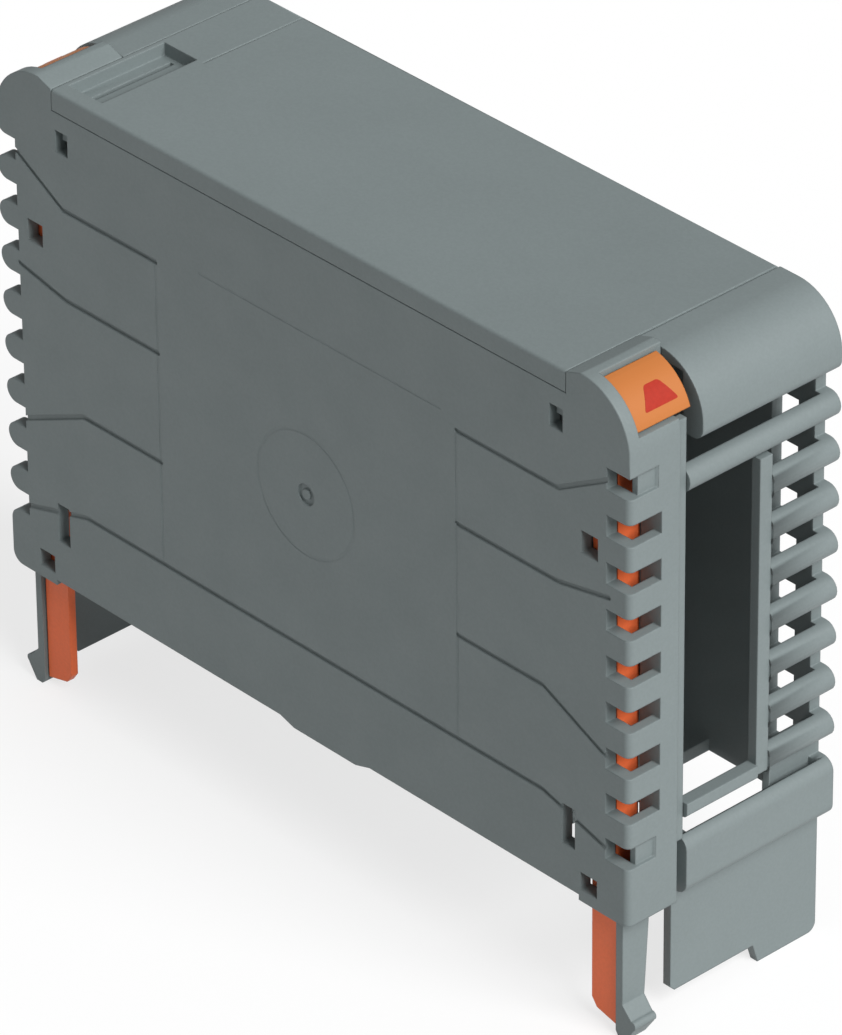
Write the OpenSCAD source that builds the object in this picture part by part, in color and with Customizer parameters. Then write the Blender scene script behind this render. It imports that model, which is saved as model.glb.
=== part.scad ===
// Modular electronics enclosure with two locking slides.
// X runs along the length, Y across the width from the near face (-Y) to the
// far face (+Y), Z up. Z = 0 is the plane under the feet.

/* [Body] */
// Length between the outer planes of the two end walls
body_l = 124; // [116:2:160]
// Width from the near face to the far face
body_w = 40; // [34:1:60]
// Height of the body's underside above the feet
leg_h = 21; // [17:1:30]
// Wall thickness of both shells
wall = 2; // [1.6:0.1:2.4]
// Distance from the near face to the parting plane
near_w = 11.3; // [10.5:0.1:14]
// Width of the seam between the two shells' raised faces
seam_w = 1.9; // [0.8:0.1:2.4]
// How far the long walls stop above the end blocks' underside
skirt_up = 0.9; // [0.4:0.1:2]

/* [End ribs] */
// Number of ribs on each end
rib_count = 8; // [6:1:10]
// Thickness of one rib
rib_t = 4; // [3.4:0.1:5]
// Gap between ribs, and between a rib and the end blocks
rib_gap = 3.5; // [3:0.1:5]
// How far the rib noses stand out of the end wall
rib_d = 3; // [2.6:0.1:4]
// Depth of the bars between the walls, in from the rib noses
bar_d = 2.1; // [1.8:0.1:2.4]
// Height of the bar under the connector window
sill_h = 2.4; // [2:0.1:3]
// Height of the shoulder block at the top of each end
top_block_h = 11.5; // [11:0.5:16]
// Height of the block at the foot of each end
foot_block_h = 9.5; // [8:0.5:14]
// Radius of the shoulder on the far shell
shoulder_r = 8.5; // [6:0.5:8.5]
// Radius of the other edges of the end blocks
block_r = 2; // [1:0.25:2]
// Length of the rib notches along the end face, from the near face
notch_w = 6; // [5:0.25:7]

/* [Connector window] */
// Width of the window in the far shell's end, from the parting plane
window_w = 13.7; // [10:0.1:18]
// Width of the upright post beside the window
post_w = 2.3; // [1.6:0.1:4]

/* [Legs] */
// Thickness of the broad leg plates
plate_t = 1.4; // [1:0.1:2]
// How far the plates' raised edge stays above the feet
plate_up = 3.2; // [1:0.1:6]
// Length of the plates' edge that reaches the feet
plate_foot_w = 11.5; // [8:0.5:18]
// Thickness of the snap hooks
hook_t = 1.3; // [1:0.1:1.4]
// Width of the snap hooks at the body
hook_w = 5.2; // [4:0.1:6]
// How far the hook's lip stands out
hook_lip = 2.6; // [1.5:0.1:2.8]
// Height of the hook's lip above the feet
hook_lip_z = 3.2; // [2:0.1:5]

/* [Lid] */
// Length of the lid
lid_l = 105; // [92:1:106]
// Thickness of the lid
lid_t = 2; // [1.6:0.1:2.5]
// Radius of the lid's long edges
lid_r = 1.2; // [0.5:0.1:1.5]
// Depth of the lid's side skirts
lid_skirt = 3.3; // [2.6:0.1:5]
// Length of the finger pocket, across the lid
pocket_l = 18; // [12:1:24]
// Width of the finger pocket, along the lid
pocket_w = 7; // [5:0.5:9]

/* [Locking slide] */
// Width of the slide's stem along the body
stem_w = 4.8; // [4:0.1:5]
// Width of the slide's lower blade along the body
blade_w = 5.1; // [5.1:0.1:5.4]
// Thickness of the blade
blade_t = 1.3; // [1:0.1:2]
// Height of the blade's end above the feet
blade_up = 1.3; // [0.5:0.1:6]
// Height of the button's lower edge above the shoulder block's underside
button_up = 5.8; // [5.5:0.1:8]
// How far the button lies below the shoulder's surface
button_set = 0.7; // [0.3:0.1:1]
// How far the slide is drawn up to free the hook
slide_travel = 4; // [2:0.5:5]
// Running clearance round the slide
slide_gap = 0.3; // [0.2:0.05:0.4]

/* [Side face] */
// Width of the shallow grooves on the long faces
groove_w = 0.8; // [0.4:0.1:1.2]
// Depth of the shallow grooves
groove_d = 0.35; // [0.2:0.05:0.6]

/* [Hidden] */
$fn = 64;
fit = 0.15;                 // clearance between still parts
eps = 0.01;

base_x = body_l / 2;        // outer plane of the end walls
tip_x = base_x + rib_d;     // plane of the rib noses and block faces
pitch = rib_t + rib_gap;
block_top = leg_h + foot_block_h;
crown_z = block_top + rib_gap + rib_count * pitch;  // underside of the shoulder block
top_z = crown_z + top_block_h;
wall_z = leg_h + skirt_up;  // lower edge of the long walls
lid_x = lid_l / 2;
skirt_z = top_z - lid_skirt;
crest_rise = 1;             // near shoulder's rise above the lid
crest_r = shoulder_r + crest_rise;
crest_x = tip_x - crest_r;
roof_z = top_z - wall;      // underside of the near shoulder's roof
seam_y = near_w - seam_w;   // end of the near shell's raised faces
post_y = near_w + window_w;

// Slide and its channel, measured outwards from the middle of the body
chan_wall = 1;              // end wall where the channel thins it
chan_x1 = base_x - chan_wall;
notch_x = chan_x1 - 0.5;    // inner end of the corner slots
blade_x1 = chan_x1 - slide_gap;
blade_x0 = blade_x1 - blade_w;
stem_x1 = blade_x0 + stem_w;
chan_x0 = blade_x0 - slide_gap;
stem_y0 = wall + slide_gap;
stem_y1 = notch_w + 0.4;
chan_y1 = stem_y1 + slide_gap;
guide_t = 1.2;
button_z = crown_z + button_up;
button_x0 = crest_x + 1.7;
button_y1 = near_w + 1;      // the button reaches over the seam
button_r1 = crest_r - button_set;
button_t = 1.6;
neck_lap = 4;               // how far the neck runs down over the stem
neck_x1 = blade_x1;
tongue_set = 0.7;           // the seam's floor below the raised faces
crown_y = near_w + 2.3;     // near face of the far shell's shoulder blocks
bar_x = tip_x - bar_d;      // inner plane of the bars between the walls
bar_r = 0.8;                // radius of the bars' front edges
stem_top = roof_z - slide_travel - slide_gap;
hook_y0 = wall - 0.3;       // near edge of the snap hooks
hook_y1 = hook_y0 + hook_w;

function rib_z(i) = block_top + rib_gap + rib_t / 2 + i * pitch;
function gap_z(i) = block_top + rib_gap / 2 + i * pitch;

// Extrudes an X-Z outline from depth y0 to depth y1 behind the near face
module xz(y0, y1) {
    translate([0, y1 - body_w / 2, 0]) rotate([90, 0, 0]) linear_extrude(y1 - y0) children();
}

// Box given by its two corners, with Y measured from the near face
module span(a, b) {
    translate([a[0], a[1] - body_w / 2, a[2]]) cube([b[0] - a[0], b[1] - a[1], b[2] - a[2]]);
}

// Repeats an end's detail on both ends
module both_ends() {
    children();
    mirror([1, 0, 0]) children();
}

// ---------------------------------------------------------------- outlines
// Round-nosed rib of the +X end, drawn from x0 outwards
module rib2d(i, x0) {
    translate([x0, rib_z(i) - rib_t / 2]) square([tip_x - rib_t / 2 - x0, rib_t]);
    translate([tip_x - rib_t / 2, rib_z(i)]) circle(d = rib_t);
}

// Flat-faced open bar between the walls, in line with the rib
module bar2d(i) {
    z0 = rib_z(i) - rib_t / 2;
    translate([bar_x, z0]) square([bar_d - bar_r, rib_t]);
    translate([bar_x, z0 + bar_r]) square([bar_d, rib_t - 2 * bar_r]);
    for (z = [z0 + bar_r, z0 + rib_t - bar_r])
        translate([tip_x - bar_r, z]) circle(r = bar_r, $fn = 32);
}

module foot_block2d(x0) {
    translate([x0, leg_h]) square([tip_x - block_r - x0, foot_block_h]);
    translate([x0, leg_h + block_r]) square([tip_x - x0, foot_block_h - 2 * block_r]);
    for (z = [leg_h + block_r, block_top - block_r])
        translate([tip_x - block_r, z]) circle(r = block_r);
}

// Shoulder block with a crest of radius r, drawn from x0 outwards
module crown2d(x0, r, rise) {
    top = top_z + rise;
    intersection() {
        translate([x0, 0]) square([tip_x + 1 - x0, top + 1]);
        union() {
            translate([0, crown_z]) square([tip_x - block_r, top - r - crown_z]);
            translate([0, crown_z + block_r]) square([tip_x, top - r - crown_z - block_r]);
            translate([0, top - r - eps]) square([tip_x - r, r + eps]);
            quarter2d(tip_x - r, top - r, r);
            translate([tip_x - block_r, crown_z + block_r]) circle(r = block_r);
        }
    }
}

// Outer upper quarter of a disc
module quarter2d(x, z, r) {
    intersection() {
        translate([x, z]) circle(r = r, $fn = 96);
        translate([x - eps, z - eps]) square(r + 2 * eps);
    }
}

// Inside of the shoulder block, one wall smaller and open below
module crown_hollow2d(x0, r, rise) {
    top = top_z + rise - wall;
    x1 = tip_x - wall;
    q = r - wall;
    translate([x0, crown_z - 1]) square([x1 - x0, top - q - crown_z + 1]);
    translate([x0, top - q - eps]) square([x1 - q - x0, q + eps]);
    quarter2d(x1 - q, top - q, q);
}

// Long wall of either shell, up to the lid's skirt
module wall2d() {
    translate([-base_x, wall_z]) square([2 * base_x, skirt_z - fit - wall_z]);
    for (s = [0, 1]) mirror([s, 0]) {
        translate([chan_x0, leg_h]) square([base_x - chan_x0, skirt_z - leg_h - 1]);
        foot_block2d(base_x - wall);
        for (i = [0 : rib_count - 1]) rib2d(i, base_x - wall);
    }
}

// Straight groove between two points of the wall
module stroke2d(p, q) {
    run = q - p;
    translate(p) rotate(atan2(run[1], run[0])) {
        translate([0, -groove_w / 2]) square([norm(run), groove_w]);
        circle(d = groove_w, $fn = 24);
        translate([norm(run), 0]) circle(d = groove_w, $fn = 24);
    }
}

// Grooves that fan from the middle field out to the ribs
field_x = body_l / 4;       // half the width of the plain middle field
fan_run = 11;               // length of the upper grooves' slanted ends
fan_low_run = 14;           // the same for the lower grooves
fan_x = base_x - fan_run;
fan_low_x = base_x - fan_low_run;
fan = [
    // rib gap it meets, level in the field, knee
    [rib_count, rib_z(rib_count - 1) - rib_t / 2, fan_x],
    [rib_count - 2.5, rib_z(rib_count - 3) - rib_t / 2, fan_x],
    [2, gap_z(2) + pitch * 0.8, fan_low_x],
    [0, rib_z(0), fan_low_x]];

module grooves2d() {
    for (s = [0, 1]) mirror([s, 0]) for (g = fan) {
        stroke2d([field_x, g[1]], [g[2], g[1]]);
        stroke2d([g[2], g[1]], [base_x - 1, gap_z(g[0])]);
    }
    stroke2d([-field_x, rib_z(0)], [field_x, rib_z(0)]);
}

// ---------------------------------------------------------------- near shell
win_w = 2.6;                // width of the catch windows
lid_win_h = 3.6;            // height of the upper catch windows
low_win_h = 6.6;            // height of the lower catch windows
slot_w = 3.3;               // width of the slots over the slide
catch_x = lid_x - 1.8;      // middle of the upper catch windows
low_catch_x = base_x - 8.8; // middle of the lower catch windows
slot_x = blade_x0 + slot_w / 2;     // middle of the slots over the slide
catch_z = skirt_z - 4.8;
low_catch_z = block_top + 1.8;
view_z = gap_z(rib_count - 2) + 2.8;
floor_open = 19.7;          // opening left in the floor at each end
floor_x = base_x - floor_open;
bump_x = 3;                 // middle of the guide bump under the near wall
bump_l = 19;                // length of the guide bump
bump_flat = 13;             // length of its flat part
bump_h = 0.9;
recess_d = 0.6;             // depth of the recess round the outer slots
corner_t = 1.6;             // skin of the hollow front corner

// Faint moulding marks of the near face: lines that bound the plain middle
// field, a ring round the gate, and the gate's dimple with its nub
mark_w = 0.4;
mark_d = 0.12;
ring_r = 10;
gate_r = 1.7;
gate_nub_r = 0.8;
gate_z = rib_z(rib_count / 2 - 1) + 3.5;

module ring2d(r) {
    difference() {
        circle(r = r + mark_w / 2);
        circle(r = r - mark_w / 2);
    }
}

module marks2d() {
    field_z0 = rib_z(0);
    field_z1 = rib_z(rib_count - 1) - rib_t / 2;
    for (x = [-field_x, field_x])
        translate([x - mark_w / 2, field_z0]) square([mark_w, field_z1 - field_z0]);
    translate([-0.7 * field_x, field_z1 + rib_t / 2]) square([1.6 * field_x, mark_w]);
    translate([0, gate_z]) ring2d(ring_r);
}

module side_openings() {
    both_ends() {
        for (w = [[catch_x, catch_z, win_w, lid_win_h], [low_catch_x, low_catch_z, win_w, low_win_h],
                  [slot_x, view_z, slot_w, 3.6], [slot_x, leg_h + 3.4, slot_w, 2.9]])
            xz(-1, wall + eps) translate([w[0] - w[2] / 2, w[1] - w[3] / 2]) square([w[2], w[3]]);
    }
}

// Slots through the flat front corner into the slide's channel; next to the
// end blocks they are small holes in a shallow recess
module front_slots() {
    for (i = [0 : rib_count]) {
        outer = i == 0 || i == rib_count;
        z0 = gap_z(i) - rib_gap / 2;
        z1 = gap_z(i) + rib_gap / 2;
        span([notch_x, -1, z0], [tip_x + 1, outer ? wall + eps : notch_w, z1]);
        if (outer) span([tip_x - recess_d, -1, z0], [tip_x + 1, notch_w - recess_d, z1]);
    }
}

// Open gaps between the thin round-nosed ribs of the rear corner
module rear_gaps() {
    for (i = [0 : rib_count])
        difference() {
            span([chan_x1 - eps, -1, gap_z(i) - pitch / 2], [tip_x + 1, notch_w, gap_z(i) + pitch / 2]);
            xz(-2, notch_w + 1) notch_keep2d(i);
        }
}

module notch_keep2d(i) {
    x0 = chan_x1 - 1;
    if (i > 0) rib2d(i - 1, x0);
    if (i < rib_count) rib2d(i, x0);
    if (i == 0) foot_block2d(x0);
    if (i == rib_count) crown2d(x0, crest_r, crest_rise);
}

// Flexible snap hook that hangs from the near shell's end block
module hook() {
    x0 = chan_x1;
    x1 = chan_x1 + hook_t;
    tip = x1 + hook_lip;
    round_r = 0.7;
    difference() {
        xz(hook_y0, hook_y1) {
            translate([x0, 1]) square([hook_t, leg_h + block_r - 1]);
            polygon([[x0, 1], [x0 + 0.6, 0], [x1 + 0.6, 0], [tip - 0.35, hook_lip_z - round_r],
                [tip - round_r, hook_lip_z + round_r * 0.8], [x1, hook_lip_z + hook_lip],
                [x0, hook_lip_z + hook_lip]]);
            translate([tip - round_r, hook_lip_z]) circle(r = round_r, $fn = 32);
        }
        // the far edge runs in towards the lip
        translate([x0 - 1, hook_y1 - body_w / 2, leg_h])
            rotate([-90 - atan2(1.3, leg_h), 0, 0]) cube([hook_lip + hook_t + 3, leg_h + 6, 4]);
    }
}

// Corner between the slide and the seam
module near_column() {
    span([tip_x - wall, notch_w, leg_h + block_r], [tip_x, seam_y, crown_z + block_r]);
    xz(notch_w, seam_y) foot_block2d(tip_x - wall - block_r);
    // tongue behind the seam, and the seam's floor beside the window
    span([chan_x1, notch_w, leg_h + 1], [tip_x - wall + eps, near_w - fit, crown_z]);
    span([tip_x - wall, seam_y - eps, block_top], [tip_x - tongue_set, near_w - fit, button_z - 1]);
}

// The front corner is flush with the end blocks and hollow behind its skin
module front_corner() {
    z1 = crown_z + block_r;
    span([chan_x1 - eps, 0, leg_h], [tip_x, wall, z1]);
    span([tip_x - corner_t, 0, leg_h], [tip_x, notch_w + eps, z1]);
    span([chan_x1, 0, leg_h], [tip_x, notch_w + eps, leg_h + 2 * block_r]);
    span([tip_x - wall, notch_w, leg_h], [tip_x, seam_y, leg_h + 2 * block_r]);
}

// The rear corner has a thin end wall behind the rib noses
module rear_corner() {
    span([chan_x1, wall - eps, leg_h], [base_x, notch_w + wall, crown_z + 1]);
    xz(0, notch_w + eps) foot_block2d(chan_x1);
}

// Near shoulder's outline: it ramps up from the lid to a crest
module crest2d() {
    intersection() {
        crown2d(lid_x + fit, crest_r, crest_rise);
        polygon([[0, 0], [tip_x + 1, 0], [tip_x + 1, top_z + 2 * crest_rise], [crest_x, top_z + crest_rise],
            [lid_x + fit, top_z], [0, top_z]]);
    }
}

module near_crown() {
    xz(0, wall) crest2d();
    // roof between the lid and the button
    xz(0, crown_y - fit) intersection() {
        crest2d();
        translate([0, roof_z]) square([button_x0 - slide_gap, wall + crest_rise]);
    }
    // front wall below the button
    xz(0, seam_y) intersection() {
        crest2d();
        translate([tip_x - wall, 0]) square([wall, button_z - slide_gap]);
    }
}

module near_floor() {
    span([-floor_x, wall - eps, wall_z], [floor_x, near_w - fit, wall_z + wall]);
    // guide bump under the wall's lower edge
    xz(0, wall) translate([bump_x, wall_z]) polygon([[-bump_l / 2, eps], [-bump_flat / 2, -bump_h],
        [bump_flat / 2, -bump_h], [bump_l / 2, eps]]);
}

// Ribs that guide the slide, with bridges behind it
module slide_guides() {
    z0 = low_catch_z + low_win_h / 2 + 1;
    span([chan_x0 - guide_t, wall - eps, z0], [chan_x0, chan_y1 + guide_t, crown_z]);
    for (z = [z0, rib_z(3) - 2, rib_z(rib_count - 1)])
        span([chan_x0 - guide_t, chan_y1, z], [chan_x1 + eps, chan_y1 + guide_t, z + 4]);
}

module near_shell() {
    color([0.42, 0.46, 0.46]) difference() {
        union() {
            xz(0, wall) wall2d();
            front_corner();
            mirror([1, 0, 0]) rear_corner();
            both_ends() {
                near_column();
                near_crown();
                slide_guides();
                hook();
            }
            near_floor();
        }
        front_slots();
        mirror([1, 0, 0]) rear_gaps();
        // channels of the slides
        both_ends() span([chan_x0, wall, 0], [chan_x1, chan_y1, roof_z]);
        side_openings();
        xz(-1, groove_d) grooves2d();
        xz(-1, mark_d) marks2d();
        xz(-1, groove_d) translate([0, gate_z]) difference() {
            circle(r = gate_r);
            circle(r = gate_nub_r);
        }
    }
}

// ---------------------------------------------------------------- far shell
ladder_x = base_x - 5.7;    // middle of the vent ladder in the far wall
ladder_w = 5.1;
ladder_h = 5.2;             // height of one vent slot
skin_t = 1.6;               // thickness of the foot block's outer skin
baffle_y = post_y + post_w + 3;     // start of the wall behind the lowest gap

// Broad plate that stands in the base, from y0 on, its top below the end blocks
module leg_plate(y0, top) {
    foot_y = body_w - plate_foot_w;
    round_r = 1.5;
    translate([base_x - plate_t, 0, 0]) rotate([90, 0, 90]) linear_extrude(plate_t)
        translate([-body_w / 2, 0]) {
            polygon([[y0, top], [y0, plate_up + 0.8], [y0 + 0.8, plate_up], [foot_y - 1, plate_up],
                [foot_y, 0], [body_w - round_r, 0], [body_w - round_r, top]]);
            translate([body_w - 2 * round_r, round_r]) square([2 * round_r, top - round_r]);
            translate([body_w - round_r, round_r]) circle(r = round_r, $fn = 32);
        }
}

module far_end() {
    // shoulder block: thin-walled, open below, closed towards the seam
    difference() {
        xz(crown_y, body_w) crown2d(lid_x + fit, shoulder_r, 0);
        xz(crown_y + wall, body_w - wall) crown_hollow2d(0, shoulder_r, 0);
        span([0, near_w - 1, 0], [base_x - 1, body_w - wall, top_z - wall]);
    }
    // foot block: an outer skin, open above
    difference() {
        xz(near_w, body_w) foot_block2d(base_x - plate_t);
        xz(near_w + plate_t, body_w - wall)
            translate([0, leg_h + wall]) square([tip_x - skin_t, foot_block_h]);
    }
    span([base_x - plate_t, baffle_y, leg_h + wall], [base_x, body_w, rib_z(0)]);
    // the highest rib runs across, a low sill lies under the window, and the
    // other ribs start at the post
    for (i = [0 : rib_count - 1])
        xz(i == rib_count - 1 ? near_w : post_y + post_w - eps, body_w) bar2d(i);
    xz(near_w, post_y + eps) intersection() {
        bar2d(0);
        translate([bar_x, rib_z(0) - rib_t / 2]) square([bar_d, sill_h]);
    }
    span([bar_x, post_y, rib_z(0) - rib_t / 2 + 0.6],
         [tip_x - 0.4, post_y + post_w, rib_z(rib_count - 1)]);
}

module far_shell() {
    color([0.50, 0.55, 0.55]) difference() {
        union() {
            xz(body_w - wall, body_w) wall2d();
            both_ends() far_end();
            leg_plate(near_w, leg_h + wall);
            mirror([1, 0, 0]) {
                leg_plate(near_w, leg_h + wall);
                // the rear plate reaches on under the near shell, up to the hook
                leg_plate(hook_y1 + slide_gap, leg_h - slide_gap);
            }
            span([-floor_x, near_w, wall_z], [floor_x, body_w - wall + eps, wall_z + wall]);
        }
        both_ends() xz(body_w - wall - eps, body_w + 1)
            translate([catch_x - win_w / 2, catch_z - lid_win_h / 2]) square([win_w, lid_win_h]);
        both_ends() for (i = [0 : rib_count - 1])
            xz(body_w - wall - eps, body_w + 1)
                translate([ladder_x - ladder_w / 2, gap_z(i) + 0.3 - ladder_h / 2])
                    square([ladder_w, ladder_h]);
        xz(body_w - groove_d, body_w + 1) grooves2d();
    }
}

// ---------------------------------------------------------------- lid
pocket_d = 2.1;
tray_t = 1;                 // floor under the finger pocket
clip_t = 1.1;
pocket_x = -lid_x + 0.8;    // rear edge of the finger pocket
pocket_y = 2.6;             // near edge of the finger pocket

// Y-Z section of the lid: a flat roof with rounded long edges and side skirts
module lid2d() {
    translate([lid_r, top_z - lid_t]) square([body_w - 2 * lid_r, lid_t]);
    for (y = [lid_r, body_w - lid_r]) translate([y, top_z - lid_r]) circle(r = lid_r, $fn = 32);
    for (y = [0, body_w - wall]) translate([y, skirt_z]) square([wall, lid_skirt - lid_r]);
}

module top_lid() {
    color([0.56, 0.61, 0.62]) difference() {
        union() {
            translate([-lid_x, 0, 0]) rotate([90, 0, 90]) linear_extrude(lid_l)
                translate([-body_w / 2, 0]) lid2d();
            // tray that forms the finger pocket
            span([-lid_x, pocket_y - 1, top_z - pocket_d - tray_t],
                 [pocket_x + pocket_w + 1, pocket_y + pocket_l + 1, top_z - lid_t + eps]);
            // spring clips behind both long walls
            for (y = [wall + fit, body_w - wall - fit - clip_t], s = [-1, 1])
                span([s * catch_x - 1, y, catch_z - 1.2], [s * catch_x + 1, y + clip_t, top_z - lid_t + eps]);
            for (y = [wall / 2, body_w - wall - fit - eps], s = [-1, 1])
                span([s * catch_x - 0.9, y, catch_z],
                     [s * catch_x + 0.9, y + wall / 2 + fit + eps, catch_z + 1.4]);
        }
        // finger pocket with two slots through its floor
        span([pocket_x, pocket_y, top_z - pocket_d], [pocket_x + pocket_w, pocket_y + pocket_l, top_z + 1]);
        for (k = [0.3, 0.72])
            span([pocket_x + pocket_w * k, pocket_y + 0.8, top_z - pocket_d - tray_t - 1],
                 [pocket_x + pocket_w * k + 0.8, pocket_y + pocket_l - 0.8, top_z]);
        // shallow line across the lid beside the pocket
        span([pocket_x + pocket_w + 0.8, pocket_y + pocket_l, top_z - groove_d],
             [pocket_x + pocket_w + 1.4, body_w + 1, top_z + 1]);
    }
}

// ---------------------------------------------------------------- slides
module slide() {
    // stem in the channel, low enough to rise under the roof
    span([blade_x0, stem_y0, leg_h + 1], [stem_x1, stem_y1, stem_top]);
    // blade behind the hook, its end cut back towards the inside
    xz(stem_y0, stem_y0 + blade_t) polygon([[blade_x0, leg_h + 2], [blade_x0, blade_up + 2.4],
        [blade_x0 + 1, blade_up + 1], [blade_x1, blade_up], [blade_x1, leg_h + 2]]);
    // button, let in below the shoulder's curve
    xz(stem_y0, button_y1) intersection() {
        difference() {
            translate([crest_x, top_z + crest_rise - crest_r]) circle(r = button_r1, $fn = 96);
            translate([crest_x, top_z + crest_rise - crest_r]) circle(r = button_r1 - button_t, $fn = 96);
        }
        translate([button_x0, button_z]) square([tip_x, top_z]);
    }
    // neck from the stem to the button
    xz(stem_y0, stem_y1) intersection() {
        translate([crest_x, top_z + crest_rise - crest_r]) circle(r = button_r1 - button_t / 2, $fn = 96);
        translate([button_x0, stem_top - neck_lap]) square([neck_x1 - button_x0, top_z]);
    }
}

module front_slide() { color([0.90, 0.42, 0.22]) slide(); }
module rear_slide() { color([0.90, 0.42, 0.22]) mirror([1, 0, 0]) slide(); }

near_shell();
far_shell();
top_lid();
front_slide();
rear_slide();
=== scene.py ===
"""Dresses the din rail enclosure: two grey shells, a clip-on lid and two orange locking slides.

Every length is in metres in the part's own frame: X along the length, Y from the near
face to the far face, Z up from the plane under the feet.
"""
import enum
import logging
import math
from dataclasses import dataclass, field
from typing import Iterable, Optional, Protocol, Sequence, Union

import bmesh
import bpy
from mathutils import Matrix, Vector


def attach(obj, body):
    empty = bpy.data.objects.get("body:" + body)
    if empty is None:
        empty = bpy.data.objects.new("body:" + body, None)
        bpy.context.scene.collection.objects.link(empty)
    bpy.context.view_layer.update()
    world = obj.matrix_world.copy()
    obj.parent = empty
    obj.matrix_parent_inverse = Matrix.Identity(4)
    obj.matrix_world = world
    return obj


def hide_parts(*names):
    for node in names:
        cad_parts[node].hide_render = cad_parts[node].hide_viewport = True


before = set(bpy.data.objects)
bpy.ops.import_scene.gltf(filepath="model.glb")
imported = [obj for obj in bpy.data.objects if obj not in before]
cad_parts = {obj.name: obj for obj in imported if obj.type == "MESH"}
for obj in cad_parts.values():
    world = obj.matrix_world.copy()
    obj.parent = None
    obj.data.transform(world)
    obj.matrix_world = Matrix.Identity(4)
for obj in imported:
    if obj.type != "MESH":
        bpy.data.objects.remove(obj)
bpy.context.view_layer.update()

log = logging.getLogger("din_rail_enclosure")

Rgb = tuple[float, float, float]
Point = tuple[float, float, float]
Span = tuple[float, float]
Socket = bpy.types.NodeSocket
Owner = Union[bpy.types.Material, bpy.types.World]
MM = 0.001


# ------------------------------------------------------------------ node trees
def grey(value: float) -> Rgb:
    """The grey with that linear value."""
    return (value, value, value)


def shaded(colour: Rgb, factor: float) -> Rgb:
    """The colour made lighter or darker by a factor."""
    return tuple(min(1.0, c * factor) for c in colour)


def opaque(colour: Rgb) -> tuple[float, float, float, float]:
    """The colour with full alpha, as a socket takes it."""
    return (*colour, 1.0)


@dataclass(frozen=True)
class Grain:
    """A noise that varies a surface: the size of its spots and how it is read."""

    size: float
    detail: float = 2.0
    roughness: float = 0.5
    span: Span = (0.3, 0.7)          # the part of the noise that is spread over the effect


class NodeTree:
    """Adds and joins the shader nodes of one material or world."""

    SPACING = (190, 160)             # between nodes in the editor, across and down
    ROWS = 3
    MIX_FIRST, MIX_SECOND, MIX_RESULT = 6, 7, 2     # the Mix node's colour sockets

    def __init__(self, owner: Owner) -> None:
        """Empties the owner's nodes.

        Args:
            owner: The material or world that the nodes belong to.
        """
        owner.use_nodes = True
        self.owner = owner
        self.tree = owner.node_tree
        self.tree.nodes.clear()
        self.column = 0

    def add(self, kind: str, inputs: Optional[dict] = None, **settings: object) -> bpy.types.Node:
        """Adds a node.

        Args:
            kind: The node's type name.
            inputs: Socket values by name or index; an output socket is linked.
            settings: Attributes of the node.

        Returns:
            The new node.
        """
        node = self.tree.nodes.new(kind)
        self.column += 1
        node.location = (self.column * self.SPACING[0],
                         -(self.column % self.ROWS) * self.SPACING[1])
        for key, value in settings.items():
            setattr(node, key, value)
        for key, value in (inputs or {}).items():
            if isinstance(value, Socket):
                self.tree.links.new(value, node.inputs[key])
            else:
                node.inputs[key].default_value = value
        return node

    def place(self) -> Socket:
        """The surface point in the object's own frame."""
        return self.add("ShaderNodeTexCoord").outputs["Object"]

    def noise(self, place: Socket, grain: Grain) -> Socket:
        """Adds a noise.

        Args:
            place: The surface point.
            grain: The noise's size and detail.

        Returns:
            The noise's value.
        """
        return self.add("ShaderNodeTexNoise", {
            "Vector": place, "Scale": 1 / grain.size, "Detail": grain.detail,
            "Roughness": grain.roughness}).outputs["Fac"]

    def ramp(self, factor: Socket, span: Span, colours: tuple[Rgb, Rgb]) -> Socket:
        """Maps a factor to colours.

        Args:
            factor: The socket that drives the ramp.
            span: The factors where the ramp starts and stops.
            colours: The colours there.

        Returns:
            The ramp's colour.
        """
        node = self.add("ShaderNodeValToRGB", {"Fac": factor})
        for element, position, colour in zip(node.color_ramp.elements, span, colours):
            element.position = position
            element.color = opaque(colour)
        return node.outputs["Color"]

    def remap(self, value: Socket, span: Span, to: Span) -> Socket:
        """Spreads one span of a value over another.

        Args:
            value: The socket with the value.
            span: The span that is read.
            to: The span that it becomes.

        Returns:
            The new value.
        """
        return self.add("ShaderNodeMapRange", {
            "Value": value, "From Min": span[0], "From Max": span[1],
            "To Min": to[0], "To Max": to[1]}).outputs["Result"]

    def combine(self, operation: str, first: Socket, second: Union[Socket, float]) -> Socket:
        """Joins two values with a Math node of that operation."""
        return self.add("ShaderNodeMath", {0: first, 1: second}, operation=operation).outputs[0]

    def mix(self, factor: Union[Socket, float], first: object, second: object,
            blend_type: str = "MIX") -> Socket:
        """Mixes two colours.

        Args:
            factor: How much of the second colour shows.
            first: A colour or a colour socket.
            second: A colour or a colour socket.
            blend_type: The Mix node's way of mixing.

        Returns:
            The mixed colour.
        """
        return self.add("ShaderNodeMix", {
            "Factor": factor, self.MIX_FIRST: first, self.MIX_SECOND: second},
            data_type="RGBA", blend_type=blend_type).outputs[self.MIX_RESULT]

    def bump(self, height: Socket, distance: float, normal: Optional[Socket] = None) -> Socket:
        """Raises the surface by a texture.

        Args:
            height: The texture.
            distance: The height that a value of 1 stands for.
            normal: The normal under the bumps, if it isn't the surface's own.

        Returns:
            The new normal.
        """
        inputs = {"Height": height, "Strength": 1.0, "Distance": distance}
        if normal is not None:
            inputs["Normal"] = normal
        return self.add("ShaderNodeBump", inputs).outputs["Normal"]

    def output(self, surface: Socket, kind: str = "ShaderNodeOutputMaterial") -> Owner:
        """Ends the tree with its output node and returns the material or world."""
        self.add(kind, {"Surface": surface})
        return self.owner


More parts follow.
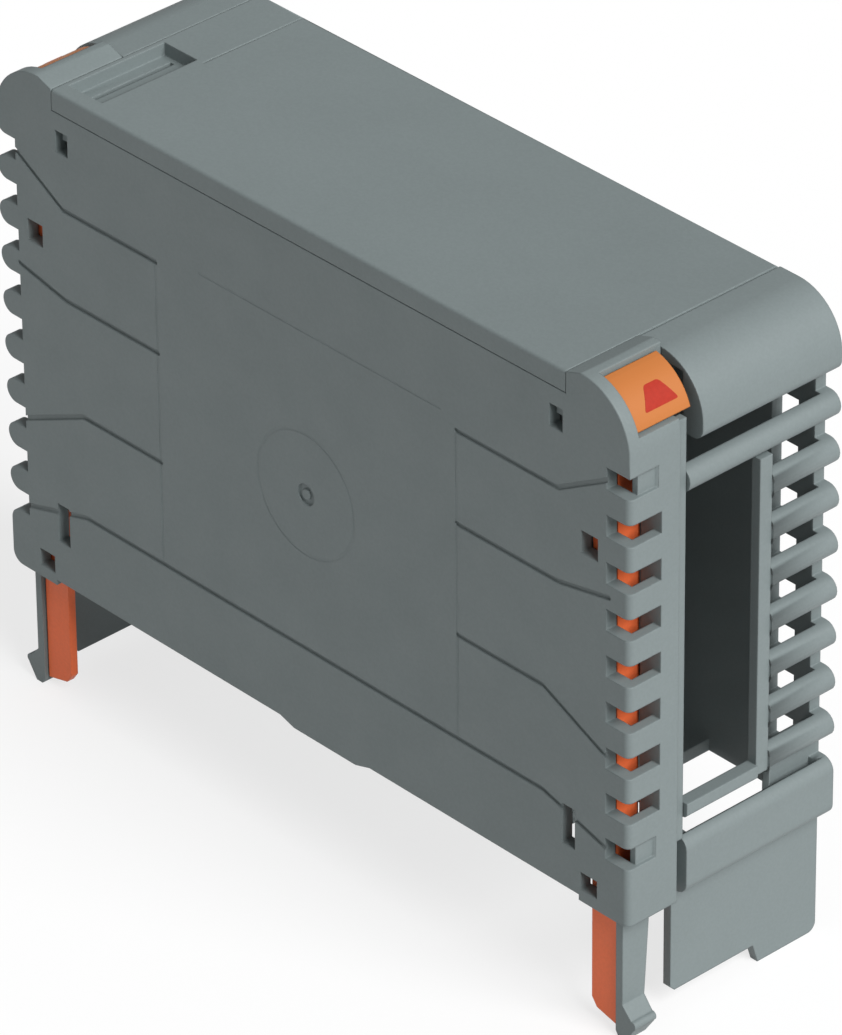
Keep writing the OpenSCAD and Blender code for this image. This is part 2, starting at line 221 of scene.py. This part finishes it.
# -------------------------------------------------------------------- finishes
@dataclass(frozen=True)
class MouldedPlastic:
    """Moulded thermoplastic with a fine eroded texture, softened edges and a painted highlight in
    spots along its sharp edges.
    """

    name: str
    colour: Rgb
    specular: float = 0.42
    ior: float = 1.5
    roughness: float = 0.56
    roughness_spread: float = 0.04
    patches: Grain = Grain(7 * MM, detail=4.0, roughness=0.6)
    clouds: Grain = Grain(18 * MM, detail=3.0, roughness=0.55)
    cloud_depth: float = 0.022
    speckle: Grain = Grain(0.45 * MM, roughness=0.6, span=(0.35, 0.65))
    speckle_depth: float = 0.05
    texture: Grain = Grain(0.22 * MM)
    texture_height: float = 0.012 * MM
    swell: Grain = Grain(9 * MM, detail=1.0)
    swell_height: float = 0.006 * MM
    edge: float = 0.35 * MM
    edge_samples: int = 6
    edge_turn: Span = (0.995, 0.86)     # cosine between the faces' and the rounded normal
    # painted highlight: a lighter copy of the colour in spots along sharp edges; the grain of its
    # spots, how much lighter it is and how much of it shows
    edge_highlight_grain: Grain = Grain(1.6 * MM)
    edge_highlight_gain: float = 1.9
    edge_highlight_share: float = 0.126

    def tint(self, tree: NodeTree, place: Socket) -> Socket:
        """Builds the colour before wear.

        Args:
            tree: The node tree that is being built.
            place: The surface point in the object's own frame.

        Returns:
            A colour socket with slow clouds and a fine speckle.
        """
        base = tree.ramp(tree.noise(place, self.clouds), self.clouds.span, (
            shaded(self.colour, 1 - self.cloud_depth), shaded(self.colour, 1 + self.cloud_depth)))
        level = tree.ramp(tree.noise(place, self.speckle), self.speckle.span, (
            grey(1 - self.speckle_depth), grey(1.0)))
        return tree.mix(1.0, base, level, blend_type="MULTIPLY")

    def edge_highlight(self, tree: NodeTree, place: Socket, soft_normal: Socket) -> Socket:
        """Finds where the painted edge highlight lies.

        Args:
            tree: The node tree that is being built.
            place: The surface point in the object's own frame.
            soft_normal: The normal rounded over the edges.

        Returns:
            The share of painted highlight: above 0 in spots along sharp edges, and 0 on plain
                faces.
        """
        true_normal = tree.add("ShaderNodeNewGeometry").outputs["Normal"]
        turn = tree.add("ShaderNodeVectorMath", {0: true_normal, 1: soft_normal},
                        operation="DOT_PRODUCT").outputs["Value"]
        on_edge = tree.remap(turn, self.edge_turn, (0.0, 1.0))
        highlight_spots = tree.combine("MULTIPLY", on_edge, tree.noise(place, self.edge_highlight_grain))
        return tree.combine("MULTIPLY", highlight_spots, self.edge_highlight_share)

    def material(self) -> bpy.types.Material:
        """Builds the finish.

        Returns:
            The node material.
        """
        tree = NodeTree(bpy.data.materials.new(self.name))
        place = tree.place()
        soft = tree.add("ShaderNodeBevel", {"Radius": self.edge},
                        samples=self.edge_samples).outputs["Normal"]
        # painted highlight: sharp edges take a lighter copy of the colour, in spots
        colour = tree.mix(self.edge_highlight(tree, place, soft), self.tint(tree, place),
                          opaque(shaded(self.colour, self.edge_highlight_gain)))
        roughness = tree.remap(tree.noise(place, self.patches), self.patches.span, (
            self.roughness - self.roughness_spread, self.roughness + self.roughness_spread))
        swell = tree.bump(tree.noise(place, self.swell), self.swell_height, soft)
        normal = tree.bump(tree.noise(place, self.texture), self.texture_height, swell)
        shader = tree.add("ShaderNodeBsdfPrincipled", {
            "Base Color": colour, "Roughness": roughness, "Normal": normal,
            "Specular IOR Level": self.specular, "IOR": self.ior})
        return tree.output(shader.outputs["BSDF"])


@dataclass(frozen=True)
class SlidePlastic(MouldedPlastic):
    """Smooth moulded plastic whose button and stem get separate colours as painted light: the
    stem's is set lighter for the shade it sits in, the button's for the light it catches.
    """

    # painted light: the button's own copy of the orange, set for the light that it catches
    button_lit_colour: Rgb = (0.50, 0.165, 0.038)
    button_light_span: Span = (96 * MM, 98 * MM)      # height over which the stem turns into the button

    def tint(self, tree: NodeTree, place: Socket) -> Socket:
        """Blends from the stem's colour to the button's, both of them painted light.

        Args:
            tree: The node tree that is being built.
            place: The surface point in the object's own frame.

        Returns:
            The colour socket.
        """
        # the stem's colour, set lighter as painted light for the shade it sits in
        stem = super().tint(tree, place)
        height = tree.add("ShaderNodeSeparateXYZ", {"Vector": place}).outputs["Z"]
        share = tree.remap(height, self.button_light_span, (0.0, 1.0))
        return tree.mix(share, stem, opaque(self.button_lit_colour))


@dataclass(frozen=True)
class PrintedField:
    """Pad-printed ink, a little glossier than the plastic under it."""

    name: str
    colour: Rgb
    specular: float = 0.3
    roughness: float = 0.5
    roughness_spread: float = 0.05
    speckle: Grain = Grain(0.5 * MM, detail=3.0)
    shades: Span = (0.93, 1.06)
    height: float = 0.004 * MM

    def material(self) -> bpy.types.Material:
        """Builds the ink.

        Returns:
            The node material.
        """
        tree = NodeTree(bpy.data.materials.new(self.name))
        speckle = tree.noise(tree.place(), self.speckle)
        colour = tree.ramp(speckle, self.speckle.span, (
            shaded(self.colour, self.shades[0]), shaded(self.colour, self.shades[1])))
        roughness = tree.remap(speckle, self.speckle.span, (
            self.roughness - self.roughness_spread, self.roughness + self.roughness_spread))
        shader = tree.add("ShaderNodeBsdfPrincipled", {
            "Base Color": colour, "Roughness": roughness,
            "Normal": tree.bump(speckle, self.height), "Specular IOR Level": self.specular})
        return tree.output(shader.outputs["BSDF"])


@dataclass(frozen=True)
class PaperFloor:
    """Matt studio paper: nearly white to the eye, softer in the light it throws back."""

    name: str = "studio_paper"
    seen: float = 0.97
    bounced: float = 0.53
    backlit: float = 0.74
    fibre: Grain = Grain(1 / 900, detail=3.0)
    fibre_height: float = 0.01 * MM

    def material(self) -> bpy.types.Material:
        """Builds the paper.

        Returns:
            The node material.
        """
        tree = NodeTree(bpy.data.materials.new(self.name))
        fibre = tree.noise(tree.place(), self.fibre)
        ray = tree.add("ShaderNodeLightPath")
        looked_at = tree.combine(
            "MAXIMUM", ray.outputs["Is Camera Ray"], ray.outputs["Is Glossy Ray"])
        looked_at = tree.combine("MAXIMUM", looked_at, ray.outputs["Is Transmission Ray"])
        level = tree.mix(looked_at, opaque(grey(self.bounced)), opaque(grey(self.seen)))
        paper = tree.add("ShaderNodeBsdfDiffuse", {
            "Color": level, "Normal": tree.bump(fibre, self.fibre_height)})
        white = tree.add("ShaderNodeEmission", {"Strength": 1.0})
        shader = tree.add("ShaderNodeMixShader", {
            0: tree.combine("MULTIPLY", looked_at, self.backlit),
            1: paper.outputs["BSDF"], 2: white.outputs["Emission"]})
        return tree.output(shader.outputs["Shader"])


@dataclass(frozen=True)
class Finishes:
    """The set of materials that the enclosure is dressed in."""

    shell: bpy.types.Material
    slide: bpy.types.Material
    ink: bpy.types.Material

    @classmethod
    def make(cls) -> "Finishes":
        """Builds each finish once.

        Returns:
            The set of finishes.
        """
        return cls(
            shell=MouldedPlastic("moulded_grey", colour=(0.192, 0.228, 0.230)).material(),
            # the slide's orange is set lighter than the plastic's own, as painted light for the
            # shade its stem sits in; its button takes a colour of its own
            slide=SlidePlastic("moulded_orange", colour=(0.99, 0.185, 0.058), roughness=0.5,
                               texture_height=0.004 * MM, cloud_depth=0.03, edge=0.25 * MM,
                               edge_highlight_share=0.09).material(),
            ink=PrintedField("red_ink", colour=(0.40, 0.024, 0.010)).material())


# ------------------------------------------------------------------- mouldings
class Slot(enum.Enum):
    """Material slots of the part's record."""

    SHELL = "shell_grey"
    SLIDE = "slide_orange"


class End(enum.Enum):
    """The two ends of the housing, with the sign of their X."""

    FRONT = 1
    REAR = -1


class ShapeStep(Protocol):
    """A small change to a piece's mesh before it is shaded."""

    def apply(self, work: bmesh.types.BMesh) -> int:
        """Changes the mesh.

        Args:
            work: The piece's mesh, in the part's frame.

        Returns:
            The number of edges or corners that were changed.
        """


@dataclass(frozen=True)
class EdgeRound:
    """A group of convex edges along one flat face that are rounded together."""

    low: Point
    high: Point
    radius: float
    face: Point = (0.0, -1.0, 0.0)
    in_face: float = 0.99          # cosine to the face's normal, at least, of the flat side
    off_face: float = 0.3          # and at most, of the other side
    segments: int = 4
    profile: float = 0.5           # a circle's

    def holds(self, edge: bmesh.types.BMEdge) -> bool:
        """Tells whether the edge belongs to the group.

        Args:
            edge: An edge of the piece, in the part's frame.

        Returns:
            True if it lies in the box, borders the flat face and stands out.
        """
        if len(edge.link_faces) != 2 or not edge.is_convex:
            return False
        inside = all(lo <= c <= hi for v in edge.verts
                     for lo, c, hi in zip(self.low, v.co, self.high))
        facing = sorted(f.normal.dot(Vector(self.face)) for f in edge.link_faces)
        return inside and facing[1] > self.in_face and abs(facing[0]) < self.off_face

    def apply(self, work: bmesh.types.BMesh) -> int:
        """Rounds the group's edges.

        Args:
            work: The piece's mesh.

        Returns:
            The number of edges that were rounded.
        """
        edges = [edge for edge in work.edges if self.holds(edge)]
        if edges:
            bmesh.ops.bevel(work, geom=edges, offset=self.radius, offset_type="OFFSET",
                            segments=self.segments, profile=self.profile, affect="EDGES",
                            clamp_overlap=True)
        return len(edges)


@dataclass(frozen=True)
class CrispEdge:
    """Tightens the rounding of a lid's long upper edges."""

    solid_radius: float = 1.2 * MM
    radius: float = 0.5 * MM
    slack: float = 0.01 * MM

    def apply(self, work: bmesh.types.BMesh) -> int:
        """Moves the corners of the rounding onto the tighter one.

        Args:
            work: The lid's mesh.

        Returns:
            The number of corners that were moved.
        """
        top = max(v.co.z for v in work.verts)
        reach = max(v.co.y for v in work.verts)
        centre_z = top - self.solid_radius
        share = self.radius / self.solid_radius
        moved = 0
        for vert in work.verts:
            side = math.copysign(1.0, vert.co.y)
            out = side * vert.co.y - (reach - self.solid_radius)
            up = vert.co.z - centre_z
            off = abs(math.hypot(out, up) - self.solid_radius)
            if min(out, up) < -self.slack or off > self.slack:
                continue
            vert.co.y = side * (reach - self.radius + out * share)
            vert.co.z = top - self.radius + up * share
            moved += 1
        return moved


@dataclass(frozen=True)
class MoveWall:
    """Moves the small wall or floor of a groove along one axis."""

    axis: int
    solid_at: float
    to: float
    slack: float = 0.005 * MM

    def apply(self, work: bmesh.types.BMesh) -> int:
        """Moves the corners that lie in the wall's plane.

        Args:
            work: The piece's mesh.

        Returns:
            The number of corners that were moved.
        """
        wall = [v for v in work.verts if abs(v.co[self.axis] - self.solid_at) < self.slack]
        for vert in wall:
            vert.co[self.axis] = self.to
        return len(wall)


@dataclass(frozen=True)
class RoundBars:
    """Gives the flat bars of both ends the round noses of the side walls."""

    tip_x: float = 65 * MM
    height: float = 4 * MM
    pitch: float = 7.5 * MM
    lowest_z: float = 36 * MM
    count: int = 8
    from_y: float = 7.3 * MM
    top_from_y: float = -8.7 * MM
    to_y: float = 20 * MM
    steps: int = 10
    skin: float = 0.01 * MM        # what is pared off the very tip
    spare: float = 0.3 * MM

    def outline(self, side: int, middle_z: float) -> list[tuple[float, float]]:
        """Outline of what is cut off one bar, in X and Z.

        Args:
            side: Sign of the end's X.
            middle_z: Height of the bar's middle.

        Returns:
            The outline's corners.
        """
        radius = self.height / 2
        turns = [math.pi * (k / self.steps - 0.5) for k in range(self.steps + 1)]
        nose = [(self.tip_x - radius + (radius - self.skin) * math.cos(turn),
                 middle_z + radius * math.sin(turn)) for turn in turns]
        back, front = self.tip_x - radius, self.tip_x + self.spare
        beyond = radius + self.spare
        ring = [(back, middle_z - beyond), *nose, (back, middle_z + beyond),
                (front, middle_z + beyond), (front, middle_z - beyond)]
        return [(side * x, z) for x, z in ring]

    def cutter(self) -> bpy.types.Mesh:
        """Builds the mesh of all that is cut off.

        Returns:
            The mesh, in the part's frame.
        """
        work = bmesh.new()
        for end in End:
            for k in range(self.count):
                ring = self.outline(end.value, self.lowest_z + k * self.pitch)
                start = self.top_from_y if k == self.count - 1 else self.from_y
                near, far = ([work.verts.new((x, y, z)) for x, z in ring]
                             for y in (start, self.to_y + self.spare))
                work.faces.new(near)
                work.faces.new(reversed(far))
                for a in range(len(ring)):
                    b = (a + 1) % len(ring)
                    work.faces.new((near[b], near[a], far[a], far[b]))
        bmesh.ops.recalc_face_normals(work, faces=work.faces)
        mesh = bpy.data.meshes.new("bar_cutter")
        work.to_mesh(mesh)
        work.free()
        return mesh

    def apply(self, work: bmesh.types.BMesh) -> int:
        """Cuts the bars round.

        Args:
            work: The shell's mesh.

        Returns:
            The number of bars that were cut.
        """
        whole = bpy.data.meshes.new("bars_whole")
        work.to_mesh(whole)
        helpers = [bpy.data.objects.new(mesh.name, mesh) for mesh in (whole, self.cutter())]
        for helper in helpers:
            bpy.context.scene.collection.objects.link(helper)
        cut = helpers[0].modifiers.new("cut", "BOOLEAN")
        cut.operation, cut.solver, cut.object = "DIFFERENCE", "EXACT", helpers[1]
        graph = bpy.context.evaluated_depsgraph_get()
        result = bpy.data.meshes.new_from_object(helpers[0].evaluated_get(graph))
        work.clear()
        work.from_mesh(result)
        bpy.data.meshes.remove(result)
        for helper in helpers:
            bpy.data.meshes.remove(helper.data)
        return len(End) * self.count


@dataclass
class Moulding:
    """One moulded piece, taken from its solid and eased along its edges."""

    node: str
    body: str
    slot: Slot
    steps: tuple[ShapeStep, ...] = ()
    weld: float = 0.002 * MM
    flat_angle: float = math.radians(0.6)
    crease_angle: float = math.radians(32)
    normal_weight: int = 80

    def flatten(self, work: bmesh.types.BMesh) -> None:
        """Joins what touches and merges the flat triangles.

        Args:
            work: The piece's mesh.
        """
        bmesh.ops.remove_doubles(work, verts=work.verts, dist=self.weld)
        bmesh.ops.dissolve_limit(work, angle_limit=self.flat_angle, verts=work.verts,
                                 edges=work.edges, use_dissolve_boundaries=False)
        work.normal_update()

    def mesh(self) -> bpy.types.Mesh:
        """Copies the solid, joins its split corners and merges its flat triangles.

        Returns:
            The new mesh, in the part's frame.
        """
        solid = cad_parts[self.node]
        mesh = bpy.data.meshes.new(f"{self.node}_eased")
        work = bmesh.new()
        work.from_mesh(solid.data)
        work.transform(solid.matrix_world)
        self.flatten(work)
        for step in self.steps:
            log.info("%s: %s changed %d", self.node, type(step).__name__, step.apply(work))
            self.flatten(work)
        for face in work.faces:
            face.smooth = True
        work.to_mesh(mesh)
        work.free()
        mesh.set_sharp_from_angle(angle=self.crease_angle)
        return mesh

    def build(self, material: bpy.types.Material) -> bpy.types.Object:
        """Builds the piece, dresses it and lets it stand for its solid.

        Args:
            material: The piece's finish.

        Returns:
            The finished object.
        """
        piece = bpy.data.objects.new(f"{self.node}_moulding", self.mesh())
        bpy.context.scene.collection.objects.link(piece)
        piece.data.materials.append(material)
        normals = piece.modifiers.new("even_faces", "WEIGHTED_NORMAL")
        normals.keep_sharp = True
        normals.weight = self.normal_weight
        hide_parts(self.node)
        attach(piece, self.body)
        log.info("%s: %d faces", piece.name, len(piece.data.polygons))
        return piece


# ----------------------------------------------- small shapes that the solids leave out
NEAR_Y = (-20.1 * MM, -19.9 * MM)      # slab that holds the near face
FAR_Y = 20.1 * MM                      # just past the far face
LID_END = 52.5 * MM                    # the lid's front end
LID_TOP = (105.4 * MM, 105.6 * MM)     # slab that holds the tops of the lid and the shoulders
REARWARD = (-1.0, 0.0, 0.0)


def near_round(x: Span, z: Span, radius: float) -> EdgeRound:
    """A group of the near face's outer edges, from its X and Z spans and radius."""
    return EdgeRound((x[0], NEAR_Y[0], z[0]), (x[1], NEAR_Y[1], z[1]), radius)


NEAR_ROUNDS = (
    near_round((53.0 * MM, 65.1 * MM), (95.0 * MM, 107.0 * MM), 1.2 * MM),      # front shoulder
    near_round((-65.1 * MM, -53.0 * MM), (94.9 * MM, 107.0 * MM), 1.2 * MM),    # rear shoulder
    near_round((64.9 * MM, 65.1 * MM), (20.9 * MM, 95.1 * MM), 1.0 * MM),       # front end
    near_round((-65.1 * MM, -61.2 * MM), (20.9 * MM, 94.9 * MM), 0.5 * MM),     # rear end
)
FAINT_MARKS = MoveWall(axis=1, solid_at=-19.88 * MM, to=-19.965 * MM)
NARROW_LINE = MoveWall(axis=0, solid_at=-43.9 * MM, to=-43.52 * MM)
SHOULDER_EDGE = EdgeRound(
    (LID_END, -8 * MM, LID_TOP[0]), (LID_END + 0.5 * MM, FAR_Y, LID_TOP[1]),
    0.35 * MM, face=REARWARD, segments=2)


@dataclass
class Housing:
    """The two shells and the lid, which stand still."""

    near: Moulding = field(default_factory=lambda: Moulding(
        "near_shell", "housing", Slot.SHELL, (FAINT_MARKS, *NEAR_ROUNDS)))
    far: Moulding = field(default_factory=lambda: Moulding(
        "far_shell", "housing", Slot.SHELL, (RoundBars(), SHOULDER_EDGE)))
    lid: Moulding = field(default_factory=lambda: Moulding(
        "top_lid", "housing", Slot.SHELL, (CrispEdge(), NARROW_LINE)))

    def build(self, finishes: Finishes) -> list[bpy.types.Object]:
        """Builds the shells and the lid.

        Args:
            finishes: The enclosure's materials.

        Returns:
            The three pieces.
        """
        return [part.build(finishes.shell) for part in (self.near, self.far, self.lid)]


@dataclass
class LockingSlide:
    """A slide with its blade, stem and button, and the red field on the button."""

    end: End
    arc_radius: float = 8.8 * MM
    arc_x: float = 55.5 * MM
    arc_z: float = 97.0 * MM
    field_lift: float = 0.03 * MM
    field_y: tuple[float, float] = (-15.3 * MM, -9.1 * MM)
    field_turn: tuple[float, float] = (math.radians(31), math.radians(54))
    field_top_share: float = 0.42
    field_round: float = 0.4 * MM
    field_least_half: float = 0.05 * MM
    field_steps: int = 14
    crease_angle: float = math.radians(40)

    @property
    def node(self) -> str:
        """Name of the slide's node and body."""
        return "front_slide" if self.end is End.FRONT else "rear_slide"

    def field_point(self, along: float, y: float, lift: float) -> Point:
        """Places a point of the field on the button's curve.

        Args:
            along: Length along the arc from its horizontal radius.
            y: The point's Y.
            lift: Height above the button.

        Returns:
            The point in the part's frame.
        """
        radius = self.arc_radius + lift
        turn = along / self.arc_radius
        return (self.end.value * (self.arc_x + radius * math.cos(turn)), y,
                self.arc_z + radius * math.sin(turn))

    def field_half_width(self, share: float) -> float:
        """Half the field's width, with rounded corners.

        Args:
            share: The share of the field's height, from its lower edge.

        Returns:
            Half the width there.
        """
        half = (self.field_y[1] - self.field_y[0]) / 2 * (1 - (1 - self.field_top_share) * share)
        height = (self.field_turn[1] - self.field_turn[0]) * self.arc_radius
        to_end = min(share, 1 - share) * height
        if to_end >= self.field_round:
            return half
        short = self.field_round - to_end
        return half - self.field_round + math.sqrt(self.field_round ** 2 - short ** 2)

    def field_mesh(self) -> bpy.types.Mesh:
        """Builds the thin curved field, closed on all sides.

        Returns:
            The mesh, in the part's frame.
        """
        work = bmesh.new()
        middle = sum(self.field_y) / 2
        start, stop = (turn * self.arc_radius for turn in self.field_turn)
        rows: list[list[bmesh.types.BMVert]] = []
        for step in range(self.field_steps + 1):
            share = 0.5 - 0.5 * math.cos(math.pi * step / self.field_steps)
            half = max(self.field_half_width(share), self.field_least_half)
            along = start + (stop - start) * share
            rows.append([
                work.verts.new(self.field_point(along, middle + side * half, lift))
                for side, lift in ((-1, self.field_lift), (1, self.field_lift),
                                   (1, -self.field_lift), (-1, -self.field_lift))])
        for below, above in zip(rows, rows[1:]):
            for a in range(len(below)):
                b = (a + 1) % len(below)
                work.faces.new((below[a], below[b], above[b], above[a]))
        work.faces.new(rows[0])
        work.faces.new(reversed(rows[-1]))
        bmesh.ops.recalc_face_normals(work, faces=work.faces)
        for face in work.faces:
            face.smooth = True
        mesh = bpy.data.meshes.new(f"{self.node}_field")
        work.to_mesh(mesh)
        work.free()
        mesh.set_sharp_from_angle(angle=self.crease_angle)
        return mesh

    def build(self, finishes: Finishes) -> list[bpy.types.Object]:
        """Builds the slide and its field.

        Args:
            finishes: The enclosure's materials.

        Returns:
            The slide and its field.
        """
        slide = Moulding(self.node, self.node, Slot.SLIDE).build(finishes.slide)
        mark = bpy.data.objects.new(f"{self.node}_button_field", self.field_mesh())
        bpy.context.scene.collection.objects.link(mark)
        mark.data.materials.append(finishes.ink)
        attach(mark, self.node)
        log.info("%s: %d faces", mark.name, len(mark.data.polygons))
        return [slide, mark]


# ---------------------------------------------------------------------- studio
@dataclass
class ViewCamera:
    """The main camera, given by its place, the point it aims at and a slight roll."""

    place: Point = (0.742088, -0.678015, 0.688542)
    aim: Point = (0.001565, 0.00036, 0.05)
    roll: float = math.radians(-0.5855)
    lens: float = 291.74
    sensor: float = 36.0
    clip: Span = (0.05, 20.0)

    def build(self) -> bpy.types.Object:
        """Makes the camera and hands it to the scene.

        Returns:
            The camera object.
        """
        data = bpy.data.cameras.new("main_view")
        data.lens = self.lens
        data.sensor_width = self.sensor
        data.clip_start, data.clip_end = self.clip
        camera = bpy.data.objects.new("main_view", data)
        look = (Vector(self.aim) - Vector(self.place)).to_track_quat("-Z", "Y").to_matrix()
        turn = look @ Matrix.Rotation(self.roll, 3, "Z")
        camera.matrix_world = Matrix.Translation(self.place) @ turn.to_4x4()
        bpy.context.scene.collection.objects.link(camera)
        bpy.context.scene.camera = camera
        log.info("camera: %.1f mm lens", self.lens)
        return camera


@dataclass
class Studio:
    """A pale floor, one broad soft key light and an even surrounding light."""

    floor_size: float = 6.0
    floor_cells: int = 8
    key_direction: Point = (0.86, 0.0, 0.74)
    key_level: float = 1.13
    key_angle: float = math.radians(38)
    fill_level: float = 0.37
    seen_level: float = 1.0

    def floor(self) -> bpy.types.Object:
        """Lays the floor under the feet.

        Returns:
            The floor.
        """
        work = bmesh.new()
        bmesh.ops.create_grid(work, x_segments=self.floor_cells, y_segments=self.floor_cells,
                              size=self.floor_size / 2)
        mesh = bpy.data.meshes.new("floor")
        work.to_mesh(mesh)
        work.free()
        floor = bpy.data.objects.new("floor", mesh)
        floor.data.materials.append(PaperFloor().material())
        bpy.context.scene.collection.objects.link(floor)
        return floor

    def key(self) -> bpy.types.Object:
        """Hangs the key light over the front end.

        Returns:
            The lamp.
        """
        data = bpy.data.lights.new("key", "SUN")
        data.energy = self.key_level * math.pi
        data.angle = self.key_angle
        lamp = bpy.data.objects.new("key", data)
        lamp.rotation_euler = Vector(self.key_direction).to_track_quat("Z", "Y").to_euler()
        bpy.context.scene.collection.objects.link(lamp)
        return lamp

    def world(self) -> bpy.types.World:
        """Sets the surrounding light, and a white room for what looks past the floor.

        Returns:
            The world.
        """
        tree = NodeTree(bpy.data.worlds.new("room"))
        ray = tree.add("ShaderNodeLightPath")
        looked_at = tree.combine(
            "MAXIMUM", ray.outputs["Is Camera Ray"], ray.outputs["Is Transmission Ray"])
        level = tree.remap(looked_at, (0.0, 1.0), (self.fill_level, self.seen_level))
        background = tree.add("ShaderNodeBackground", {"Strength": level})
        bpy.context.scene.world = tree.output(
            background.outputs["Background"], kind="ShaderNodeOutputWorld")
        return bpy.context.scene.world

    def build(self) -> None:
        """Builds the floor and the lights, and sets the view transform."""
        self.floor()
        self.key()
        self.world()
        bpy.context.scene.view_settings.view_transform = "Standard"
        log.info("studio: key %.2f, fill %.2f", self.key_level, self.fill_level)


def main() -> None:
    """Builds the camera, the studio and the enclosure, in that order."""
    logging.basicConfig(level=logging.INFO, format="%(name)s: %(message)s")
    ViewCamera().build()
    Studio().build()
    finishes = Finishes.make()
    Housing().build(finishes)
    for end in End:
        LockingSlide(end).build(finishes)


if __name__ == "__main__":
    main()
